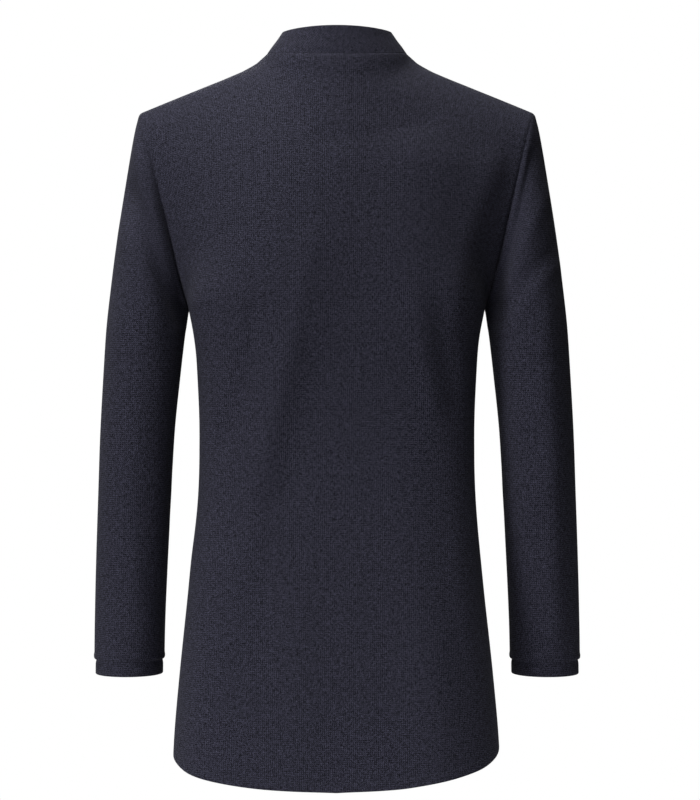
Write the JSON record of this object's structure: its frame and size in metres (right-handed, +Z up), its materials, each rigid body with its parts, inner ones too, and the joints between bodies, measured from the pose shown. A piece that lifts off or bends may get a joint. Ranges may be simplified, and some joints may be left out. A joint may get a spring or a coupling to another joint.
{
  "type": "stand-collar longline blazer",
  "caption": "Longline blazer with a stand collar, full sleeves with narrow cuff bands, a curved hem and a buttoned front, in its worn shape with nobody in it.",
  "frame": {"origin": "middle of the neck opening, level with the neck seam at the centre back", "axes": "+Z up, -Y out of the front of the garment, +X towards the wearer's left sleeve"},
  "size_m": [0.5398, 0.2492, 0.8178],
  "materials": {
    "cloth": "matt heather weave",
    "button": "satin"
  },
  "bodies": {
    "root": {"back": "cloth", "front_left": "cloth", "front_right": "cloth", "sleeve_left": "cloth", "sleeve_right": "cloth", "cuff_left": "cloth", "cuff_right": "cloth", "collar": "cloth", "button_1": "button", "button_2": "button", "button_3": "button", "button_4": "button"}
  },
  "joints": []
}
